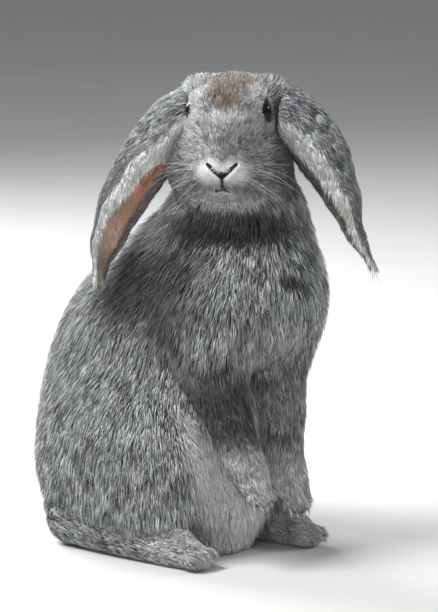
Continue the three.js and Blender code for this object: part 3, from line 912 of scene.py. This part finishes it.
def face_fur(p, fur):
    """The coat is shortest round the eyes."""
    for _, out, _ in from_eyes(to_head(p)):
        fur = fur * (0.4 + 0.6 * smoothstep(1, 11, out - EYE_RADIUS))
    return fur


def tuft_points(t):
    """The places of each tuft's points."""
    corners = ((-0.5, 0.0), (0.5, 0.0), (0.0, FLATNESS))
    up = unit(np.cross(t.side, unit(t.tip - t.root)))
    up = np.where(((up * t.up).sum(-1) < 0)[:, None], -up, up)
    rings = [
        np.stack([centre + (t.side * a + up * b) * (t.width * 0.9)[:, None] for a, b in corners], 1)
        for centre in (t.root, t.bend)
    ]
    return np.concatenate((*rings, t.tip[:, None]), 1)


def tuft_colours(t):
    """Each tuft's colours at the same points."""
    middle = mix(t.dark, t.pale, t.tone)
    dark_tip = (rng.random(len(t.root)) < DARK_TIPS)[:, None]
    end = np.where(dark_tip, t.dark * 0.8, middle * 1.08)
    return np.stack([middle * t.shade[:, None]] * 3 + [middle] * 3 + [end], 1)


def tuft_faces(long):
    """The triangles of all tufts over the same points: ten where a tuft is long, and four where it isn't."""
    bent, straight = [(0, 2, 1)], [(0, 2, 1)]
    for a, b in ((0, 1), (1, 2), (2, 0)):
        bent += [(a, b, b + 3), (a, b + 3, a + 3), (a + 3, b + 3, 6)]
        straight.append((a, b, 6))
    start = np.arange(len(long))[:, None, None] * TUFT_POINTS
    kinds = [np.array(faces)[None] + start[which] for faces, which in ((bent, long), (straight, ~long))]
    return np.concatenate([faces.reshape(-1, 3) for faces in kinds])


def tuft_mesh(name, t):
    """All the tufts as one mesh: closed three-sided spikes, with a bend in the longer ones."""
    count = len(t.root)
    long = norm(t.tip - t.root) > BENT_FROM
    used = np.ones((count, TUFT_POINTS), bool)
    used[~long, 3:6] = False
    used = used.reshape(-1)
    faces = (np.cumsum(used) - 1)[tuft_faces(long)]
    mesh = triangle_mesh(name, tuft_points(t).reshape(-1, 3)[used] * MM, faces)
    paint_points(mesh, tuft_colours(t).reshape(-1, 3)[used])
    tuft_of = np.repeat(np.arange(count), TUFT_POINTS)[used]
    corner = np.tile([(0.0, 0.0), (1.0, 0.0), (0.5, 1.0)], (len(faces), 1)) - 0.5
    uv = t.uv[tuft_of[faces.reshape(-1)]] + corner * PATCH
    mesh.uv_layers.new(name="OFBake").data.foreach_set("uv", uv.reshape(-1))
    return mesh


def triangle_mesh(name, points, faces):
    mesh = bpy.data.meshes.new(name)
    mesh.vertices.add(len(points))
    mesh.vertices.foreach_set("co", points.reshape(-1))
    mesh.loops.add(faces.size)
    mesh.loops.foreach_set("vertex_index", faces.reshape(-1).astype(np.int32))
    mesh.polygons.add(len(faces))
    mesh.polygons.foreach_set("loop_start", np.arange(0, faces.size, 3, dtype=np.int32))
    mesh.polygons.foreach_set("use_smooth", np.ones(len(faces), bool))
    mesh.update(calc_edges=True)
    return mesh


def paint_points(mesh, colour):
    layer = mesh.color_attributes.new(name="Coat", type="FLOAT_COLOR", domain="POINT")
    rgba = np.ones((len(mesh.vertices), 4))
    rgba[:, :3] = np.clip(colour, 0, 1)
    layer.data.foreach_set("color", rgba.reshape(-1))


def body_coat(skin):
    tufts, group = body_tufts(skin)
    for k, name in enumerate(COAT_GROUPS):
        coat_pieces(name, Tufts(*(values[group == k] for values in tufts)))


def coat_pieces(name, tufts):
    """Lays tufts out as pieces that each stay under the most triangles a piece may have."""
    parts = math.ceil(len(tufts.root) / MOST_TUFTS)
    order = np.argsort(tufts.root[:, 2])
    for k, some in enumerate(np.array_split(order, parts)):
        mesh = tuft_mesh(f"coat_{name}_{k + 1}", Tufts(*(values[some] for values in tufts)))
        add(mesh, coat_material())


def add(mesh, material):
    """Puts a mesh in the scene as a piece of the animal."""
    mesh.materials.append(material)
    piece = new_object(mesh.name, mesh)
    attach(piece, BODY)


# ---- the ears' coat

# layer: 0.5 outside, -0.5 inside. margin: where it grows, from the front margin to the back one.
# across: how it leans to the back margin. shade: the least that roots keep of the colour. cover: its share
# of the coat's cover.
EarCoat = namedtuple("EarCoat", "layer margin fur depth pale dark across shade cover", defaults=(1,))
EAR_COATS = (
    EarCoat(0.5, (0.0, 1.0), 7.0, 1.6, "silver", "slate", 0.0, 0.35),
    EarCoat(0.5, (0.0, 0.14), 13.0, 1.6, "white", "silver", -0.5, 0.7),
    EarCoat(-0.5, (0.0, 0.16), 12.0, 1.8, "white", "silver", 0.3, 0.7),
    EarCoat(-0.5, (0.12, 0.9), 7.0, 1.2, "cream", "cream", 0.2, 1.0, cover=0.28),
    EarCoat(-0.5, (0.9, 1.0), 8.0, 1.4, "silver", "ash", -0.3, 0.6),
)


def ear_sheet(name, layer, low, high):
    """A face of an ear as a grid of triangles, with each point's s and a."""
    along, across = EAR_STEPS
    s, a = np.meshgrid(np.linspace(0, EAR_END, along), np.linspace(low, high, across), indexing="ij")
    s, a = s.reshape(-1), np.clip(a.reshape(-1), *EAR_EDGES)
    at = ear_surface(name, s, a, layer)
    first = (np.arange(along - 1)[:, None] * across + np.arange(across - 1)).reshape(-1)
    ends = first + across
    corners = [np.stack(ring, -1) for ring in ((first, ends, ends + 1), (first, ends + 1, first + 1))]
    return at, np.concatenate(corners), s, a


def ear_normal(name, s, a, layer):
    """The outward normal of an ear's face, and the ways along and across it."""
    step = 0.004
    at = lambda s, a: ear_surface(name, s, a, layer)
    along = at(s + step, a) - at(s - step, a)
    across = at(s, a + step) - at(s, a - step)
    thick = ear_surface(name, s, a, 0.5) - ear_surface(name, s, a, -0.5)
    normal = unit(np.cross(along, across))
    facing = np.sign((normal * thick).sum(-1, keepdims=True) * layer)
    return normal * facing, unit(along), unit(across)


def ear_fur(coat, s):
    """The coat is longer at an ear's root."""
    return coat.fur * (1.15 - 0.45 * s)


def ear_tufts(name, coat, nearest_uv):
    at, corners, s, a = ear_sheet(name, coat.layer, *coat.margin)
    fur = ear_fur(coat, s[corners].mean(1))
    picked, weights = scatter(at, corners, COVER * coat.cover / (fur * tuft_width(fur)))
    blend = lambda values: (values[corners[picked]] * weights).sum(1)
    s, a = np.clip(blend(s), 0.01, 0.98), np.clip(blend(a), *EAR_EDGES)
    root = ear_surface(name, s, a, coat.layer)
    outside = skin_distance(root) > 0.3
    root, s, a = root[outside], s[outside], a[outside]
    normal, along, across = ear_normal(name, s, a, coat.layer)
    pale, dark = ear_markings(s, a, coat)
    fur = ear_fur(coat, s) * (1 + 0.7 * smoothstep(0.9, 0.98, s))
    shade = np.maximum(base_shade(dark), coat.shade)
    lie = along + across * coat.across
    return comb(ON_EARS, root, normal, lie, fur, coat.depth, pale, dark, nearest_uv(root), shade)


def ear_markings(s, a, coat):
    pale = np.broadcast_to(linear(coat.pale), s.shape + (3,))
    dark = np.broadcast_to(linear(coat.dark), s.shape + (3,))
    far = smoothstep(0.45, 1.0, s) * 0.4
    rim = smoothstep(0.8, 1.0, a) * (0.2 + 0.5 * s)
    pale = mix(mix(pale, linear("ash"), far), linear("slate"), rim)
    dark = mix(mix(dark, linear("soot"), far), linear("soot"), rim)
    if coat.layer > 0:
        front = smoothstep(0.2, 0.03, a) * 0.85
        pale, dark = mix(pale, linear("white"), front), mix(dark, linear("ash"), front)
    return pale, dark


def ears_coat(skin):
    tree = BVHTree.FromObject(skin, bpy.context.evaluated_depsgraph_get())
    polygons = skin.data.polygons
    uv = skin.data.uv_layers["OFBake"].data

    def nearest_uv(points):
        found = np.empty((len(points), 2))
        for k, p in enumerate(points * MM):
            face = polygons[tree.find_nearest(p)[2]]
            found[k] = uv[face.loop_start].uv
        return found

    for name in SIDES:
        grown = [ear_tufts(name, coat, nearest_uv) for coat in EAR_COATS]
        coat_pieces("ears_" + name, Tufts(*(np.concatenate(values) for values in zip(*grown))))


# ---- eyes, claws and whiskers


def ring_mesh(rings):
    """Points and triangles of a closed form through rings of points."""
    around = len(rings[0])
    faces = []
    for k in range(len(rings) - 1):
        for i in range(around):
            j = (i + 1) % around
            a, b = k * around, (k + 1) * around
            faces += [(a + i, a + j, b + j), (a + i, b + j, b + i)]
    last = (len(rings) - 1) * around
    for i in range(1, around - 1):
        faces += [(0, i + 1, i), (last, last + i, last + i + 1)]
    return np.concatenate(rings), np.array(faces)


def circle(around):
    turn = np.arange(around) / around * 2 * math.pi
    return np.cos(turn), np.sin(turn)


EYE_STEPS = (48, 40)
EYE_GAP = 0.15  # how far inside the solid's surface the eyeball stays
CORNEA = (0.7, 0.62)  # how far it bulges, and its reach as an angle from the gaze


def make_eye(name):
    """An eyeball with its cornea standing a little proud, in a frame of its own that looks along Z."""
    around, steps = EYE_STEPS
    cos, sin = circle(around)
    rings = []
    for angle in np.linspace(0.01, math.pi - 0.01, steps):
        radius = EYE_RADIUS - EYE_GAP + CORNEA[0] * math.exp(-((angle / CORNEA[1]) ** 4))
        ring = np.stack((cos, sin, np.zeros(around)), -1) * math.sin(angle)
        ring[:, 2] = math.cos(angle)
        rings.append(ring * radius)
    points, faces = ring_mesh(rings)
    mesh = triangle_mesh("eyeball_" + name, points * MM, faces[:, ::-1])
    mesh.materials.append(eye_material())
    eye = new_object(mesh.name, mesh)
    at, gaze, slit, across = eye_frame(SIDES[name])
    eye.location = Vector(from_head(at) * MM)
    turn = np.stack([from_head(v, is_point=False) for v in (slit, -across, gaze)], 1)
    eye.rotation_euler = Matrix(turn.tolist()).to_euler()
    bpy.context.view_layer.update()
    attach(eye, BODY)
    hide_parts("eye_" + name)


def tube(line, radii, around):
    """Rings of a tube along a line of points."""
    way = unit(np.gradient(line, axis=0))
    side = unit(np.cross(way, (0.31, 0.17, 0.94)))  # any way that no tube runs
    up = np.cross(side, way)
    cos, sin = circle(around)
    return [c + r * (cos[:, None] * a + sin[:, None] * b) for c, r, a, b in zip(line, radii, side, up)]


def tubes_mesh(name, tubes, around):
    """Many closed tubes as one mesh, each from its line of points and their radii."""
    points, faces, count = [], [], 0
    for line, radii in tubes:
        p, f = ring_mesh(tube(line, radii, around))
        points.append(p)
        faces.append(f + count)
        count += len(p)
    return triangle_mesh(name, np.concatenate(points) * MM, np.concatenate(faces))


CLAW_LENGTH = 9.5
CLAW_RADIUS, CLAW_POINT = 1.5, 0.12
CLAW_GAP = 0.8  # the least height of a claw's middle over the floor


def claw(start, ahead):
    """A claw leaves its toe forwards and curves down: its line and its radii."""
    t = np.linspace(0, 1, 9)
    drop = (0.25 * t + 0.45 * t**2)[:, None] * 0.75
    line = start + (ahead * t[:, None] + np.array((0, 0, -1.0)) * drop) * CLAW_LENGTH
    line[:, 2] = np.maximum(line[:, 2], CLAW_GAP)
    return line, CLAW_RADIUS * (1 - t) ** 0.6 + CLAW_POINT


def make_claws():
    claws = []
    for name, x in SIDES.items():
        leg = FORELEGS[name]
        foot = [mirrored(s, x) for s in HIND_FOOT]
        for end, before, toes in ((leg[-1], leg[WRIST], FORE_TOES), (foot[-1], foot[-2], HIND_TOES)):
            places, ahead = toe_places(end, before, toes)
            claws += [claw(place - ahead * 0.3 * toes.radii[1], ahead) for place in places]
    add(tubes_mesh("claws", claws, 8), claw_material())


WHISKER_ROWS = 3
WHISKERS_IN_ROW = 3
BROW_WHISKERS = 3


def whisker_roots(x):
    """On one side of the head, each whisker's root, the way it leaves the skin, and its length."""
    for row in range(WHISKER_ROWS):
        for k in range(WHISKERS_IN_ROW):
            place = (x * (11 + 2.6 * k), -44 + 3.2 * k, -25 - 3.2 * row)
            yield place, (x * (0.75 + 0.1 * k), -0.3 + 0.25 * k, 0.18 - 0.22 * row), 48 - 4 * row
    for k in range(BROW_WHISKERS):
        yield (x * (14 + 2 * k), -18 + 3 * k, 26), (x * 0.5, -0.35, 0.75), 26


def make_whiskers():
    whiskers = []
    t = np.linspace(0, 1, 12)[:, None]
    for x in SIDES.values():
        for place, way, length in whisker_roots(x):
            length = length * rng.uniform(0.75, 1.1)
            way = unit(np.array(way) + rng.normal(0, 0.09, 3))
            sag = np.array((0, 0.12, -0.4)) * rng.uniform(0.6, 1.5)
            line = np.array(place) + way * t * length + sag * t**2 * length
            whiskers.append((from_head(line), 0.08 * (1 - t[:, 0]) + 0.04))
    add(tubes_mesh("whiskers", whiskers, 5), whisker_material())


# ---- materials


class Nodes:
    """A short way to build a material's nodes."""

    def __init__(self, name):
        self.material = bpy.data.materials.new(name)
        self.material.use_nodes = True
        self.tree = self.material.node_tree
        self.shader = self.tree.nodes["Principled BSDF"]

    def add(self, kind, **inputs):
        node = self.tree.nodes.new(kind)
        for key, value in inputs.items():
            self.give(node, key.replace("_", " "), value)
        return node

    def give(self, node, key, value):
        socket = node.inputs[key]
        if isinstance(value, bpy.types.NodeSocket):
            self.tree.links.new(value, socket)
        else:
            socket.default_value = value

    def set(self, **inputs):
        for key, value in inputs.items():
            self.give(self.shader, key.replace("_", " "), value)

    def place(self, scale=(1, 1, 1)):
        coordinates = self.tree.nodes.new("ShaderNodeTexCoord")
        mapping = self.add("ShaderNodeMapping", Vector=coordinates.outputs["Object"], Scale=scale)
        return mapping.outputs["Vector"]

    def noise(self, scale, detail=3, stretch=(1, 1, 1)):
        node = self.add("ShaderNodeTexNoise", Vector=self.place(stretch), Scale=scale, Detail=detail)
        return node.outputs["Fac"]

    def ramp(self, value, low, high, to_low, to_high):
        ends = {"From_Min": low, "From_Max": high, "To_Min": to_low, "To_Max": to_high}
        return self.add("ShaderNodeMapRange", Value=value, **ends).outputs["Result"]

    def painted(self):
        node = self.tree.nodes.new("ShaderNodeVertexColor")
        node.layer_name = "Coat"
        return node.outputs["Color"]

    def scaled(self, colour, amount):
        node = self.tree.nodes.new("ShaderNodeVectorMath")
        node.operation = "SCALE"
        self.give(node, 0, colour)
        self.give(node, "Scale", amount)
        return node.outputs[0]

    def mixed(self, amount, a, b):
        node = self.tree.nodes.new("ShaderNodeMix")
        node.data_type = "RGBA"
        for key, value in ((0, amount), (6, a), (7, b)):
            self.give(node, key, value)
        return node.outputs[2]

    def bump(self, height, strength, distance):
        node = self.add("ShaderNodeBump", Height=height, Strength=strength, Distance=distance)
        self.set(Normal=node.outputs["Normal"])


@cache
def coat_material():
    m = Nodes("coat_hair")
    tone = m.ramp(m.noise(160, 4), 0.3, 0.7, 0.84, 1.16)
    m.set(Base_Color=m.scaled(m.painted(), tone))
    m.set(Roughness=m.ramp(m.noise(400), 0.3, 0.7, 0.62, 0.78))
    m.set(Specular_IOR_Level=0.12, Sheen_Weight=0.1, Sheen_Roughness=0.5)
    return m.material


@cache
def skin_material():
    """The short dense underfur, seen between the tufts and on the face."""
    m = Nodes("underfur")
    hairs = m.noise(1300, 3, (1, 1, 0.35))
    m.set(Base_Color=m.scaled(m.painted(), m.ramp(hairs, 0.3, 0.7, 0.55, 1.2)))
    m.set(Roughness=0.75, Specular_IOR_Level=0.25, Sheen_Weight=0.1)
    m.bump(hairs, 0.5, 0.0006)
    return m.material


@cache
def ear_skin_material():
    """Bare warm skin inside the ears, with faint veins."""
    m = Nodes("ear_lining")
    veins = m.noise(90, 5)
    m.set(Base_Color=m.scaled(m.painted(), m.ramp(veins, 0.35, 0.65, 0.75, 1.15)))
    m.set(Roughness=m.ramp(m.noise(300), 0.3, 0.7, 0.42, 0.6), Specular_IOR_Level=0.4)
    m.set(Subsurface_Weight=0.15, Subsurface_Scale=0.004)
    m.bump(m.noise(700), 0.25, 0.0004)
    return m.material


@cache
def eye_material():
    m = Nodes("wet_eye")
    coordinates = m.tree.nodes.new("ShaderNodeTexCoord")
    split = m.add("ShaderNodeSeparateXYZ", Vector=coordinates.outputs["Object"])
    depth = split.outputs["Z"]
    fibres = m.noise(700, 2)
    brown = m.mixed(fibres, (0.010, 0.005, 0.003, 1), (0.026, 0.013, 0.007, 1))
    iris = m.ramp(depth, 0.0088, 0.0093, 0, 1)
    colour = m.mixed(iris, brown, (0.002, 0.002, 0.002, 1))
    rim = m.ramp(depth, 0.0050, 0.0062, 1, 0)
    m.set(Base_Color=m.mixed(rim, colour, (0.008, 0.005, 0.004, 1)))
    m.set(Roughness=0.06, Specular_IOR_Level=0.5, IOR=1.25)
    return m.material


@cache
def claw_material():
    m = Nodes("claw_horn")
    grain = m.noise(900, 3, (1, 1, 0.3))
    m.set(Base_Color=m.mixed(grain, (0.50, 0.45, 0.39, 1), (0.72, 0.68, 0.61, 1)))
    m.set(Roughness=0.35, Specular_IOR_Level=0.5)
    m.bump(grain, 0.2, 0.0002)
    return m.material


@cache
def whisker_material():
    m = Nodes("whisker_hair")
    m.set(Base_Color=m.mixed(m.noise(200), (0.35, 0.35, 0.35, 1), (0.70, 0.70, 0.68, 1)))
    m.set(Roughness=0.4)
    return m.material


# ---- putting the animal together

UNDERFUR = 1.1  # how the skin under the coat compares with the roots of the tufts


def unwrap(piece):
    piece.data.uv_layers.new(name="OFBake")
    bpy.context.view_layer.objects.active = piece
    piece.select_set(True)
    bpy.ops.object.mode_set(mode="EDIT")
    bpy.ops.mesh.select_all(action="SELECT")
    bpy.ops.uv.smart_project(angle_limit=1.2, island_margin=0.002)
    bpy.ops.object.mode_set(mode="OBJECT")


def paint_skin(mesh):
    at, normal = vertex_arrays(mesh)
    pale, dark = markings(at, normal, growth(at).share)
    colour = mix(dark, pale, 0.5) * base_shade(dark)[:, None] * UNDERFUR
    colour = paint_face(to_head(at), colour)
    colour = mix(colour, lining_colour(to_head(at)), on_ear_lining(mesh))
    paint_points(mesh, colour)


def paint_face(q, colour):
    """The dark bare skin of the nose, the lips and the lids' edges."""
    side = np.abs(q[:, 0])
    front = q[:, 1] < -26
    lines = np.minimum(from_groove(side, q[:, 2], NOSTRIL) - 0.5, from_groove(side, q[:, 2], PHILTRUM))
    lines = np.minimum(lines, wedge_distance(side, q[:, 2]) + 0.9)
    nose = front * smoothstep(1.6, 0.6, lines)
    colour = mix(colour, linear("liver"), nose)
    lips = front * smoothstep(1.9, 1.0, from_groove(side, q[:, 2], MOUTH))
    colour = mix(colour, linear("liver"), lips)
    for e, out, axes in from_eyes(q):
        close = out < EYE_RADIUS + LID + 1.5
        lid = close * smoothstep(1.8, 0.8, from_opening(e, axes)) * (e @ axes[0] > 0)
        colour = mix(colour, linear("soot"), lid)
    return colour


def lining_colour(q):
    """The ears are rosy inside, paler down their length and grey at the tips."""
    rose = mix(linear("rose"), linear("flesh"), smoothstep(-25, -80, q[:, 2]) * 0.9)
    return mix(rose, linear("slate"), smoothstep(-86, -108, q[:, 2]) * 0.8)


def on_ear_lining(mesh):
    """1 at the points of the insides of the ears."""
    found = np.zeros(len(mesh.vertices))
    for polygon in mesh.polygons:
        if polygon.material_index == LINING:
            found[list(polygon.vertices)] = 1
    return found


def make_animal():
    skin = make_skin()
    join_ears(skin)
    unwrap(skin)
    paint_skin(skin.data)
    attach(skin, BODY)
    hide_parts(*[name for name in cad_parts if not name.startswith("eye_")])
    body_coat(skin)
    ears_coat(skin)
    for name in SIDES:
        make_eye(name)
    make_claws()
    make_whiskers()


# ---- the studio

# The picture's own pixels: where the frame's origin falls, and how many millimetres one pixel spans.
PICTURE = (438, 612)
ORIGIN_PIXEL = (131, 542)
PIXEL = 0.75
VIEW_TURN = math.radians(-45)
VIEW_RISE = math.radians(8)
DISTANCE = 2.6
FOCUS_AHEAD = 0.1  # how far before the frame's origin the picture has its scale
SENSOR = 36.0
FLOOR_REACH = 25000.0  # in millimetres


def studio_frame():
    """Unit vectors to the camera, to its right and up its picture."""
    turn = Vector((math.sin(VIEW_TURN), -math.cos(VIEW_TURN), 0))
    back = turn * math.cos(VIEW_RISE) + Vector((0, 0, math.sin(VIEW_RISE)))
    right = Vector((math.cos(VIEW_TURN), math.sin(VIEW_TURN), 0))
    return back, right, back.cross(right)


def make_camera():
    back, right, up = studio_frame()
    middle = (PICTURE[0] / 2 - ORIGIN_PIXEL[0], ORIGIN_PIXEL[1] - PICTURE[1] / 2)
    target = (right * middle[0] + up * middle[1]) * PIXEL * MM + back * FOCUS_AHEAD
    data = bpy.data.cameras.new("camera")
    data.sensor_fit = "VERTICAL"
    data.sensor_width = SENSOR
    data.sensor_height = SENSOR
    data.lens = SENSOR * DISTANCE / (PICTURE[1] * PIXEL * MM)
    data.clip_end = 50
    camera = new_object("camera", data)
    camera.location = target + back * DISTANCE
    camera.rotation_euler = back.to_track_quat("Z", "Y").to_euler()
    bpy.context.scene.camera = camera


# Places in metres from the origin, to the right, back to the camera and high; size in metres, power in watts.
Light = namedtuple("Light", "place size power colour")
LIGHTS = {
    "key": Light((-1.5, 0.9, 2.5), 1.5, 124, (1.0, 0.99, 0.97)),
    "fill": Light((0.3, 2.2, 0.5), 1.6, 11, (0.97, 0.98, 1.0)),
    "rim": Light((-1.2, -1.6, 1.6), 1.2, 62, (1.0, 1.0, 1.0)),
    "side": Light((2.4, -0.6, 1.5), 0.5, 22, (1.0, 1.0, 1.0)),
}
LIT_POINT = Vector((0, 0, 0.18))


def make_light(name, light):
    back, right, _ = studio_frame()
    data = bpy.data.lights.new(name, "AREA")
    data.size = light.size
    data.energy = light.power
    data.color = light.colour
    lamp = new_object(name, data)
    lamp.location = right * light.place[0] + back * light.place[1] + Vector((0, 0, light.place[2]))
    lamp.rotation_euler = (lamp.location - LIT_POINT).to_track_quat("Z", "Y").to_euler()


def make_lights():
    for name, light in LIGHTS.items():
        make_light(name, light)
    world = bpy.data.worlds.new("studio")
    bpy.context.scene.world = world
    world.use_nodes = True
    sky = world.node_tree.nodes["Background"]
    sky.inputs["Color"].default_value = (0.92, 0.94, 0.96, 1)
    sky.inputs["Strength"].default_value = 0.27
    bpy.context.scene.view_settings.view_transform = "Standard"


def make_floor():
    corners = np.array(((-1, -1, 0), (1, -1, 0), (1, 1, 0), (-1, 1, 0)))
    mesh = new_mesh("floor", corners * FLOOR_REACH, [(0, 1, 2, 3)])
    mesh.materials.append(floor_material())
    new_object("floor", mesh)


def floor_material():
    m = Nodes("pale_floor")
    m.set(Base_Color=m.mixed(m.noise(6, 4), (0.57, 0.58, 0.57, 1), (0.63, 0.64, 0.63, 1)))
    m.set(Roughness=0.85, Specular_IOR_Level=0.2)
    return m.material


make_animal()
make_camera()
make_lights()
make_floor()
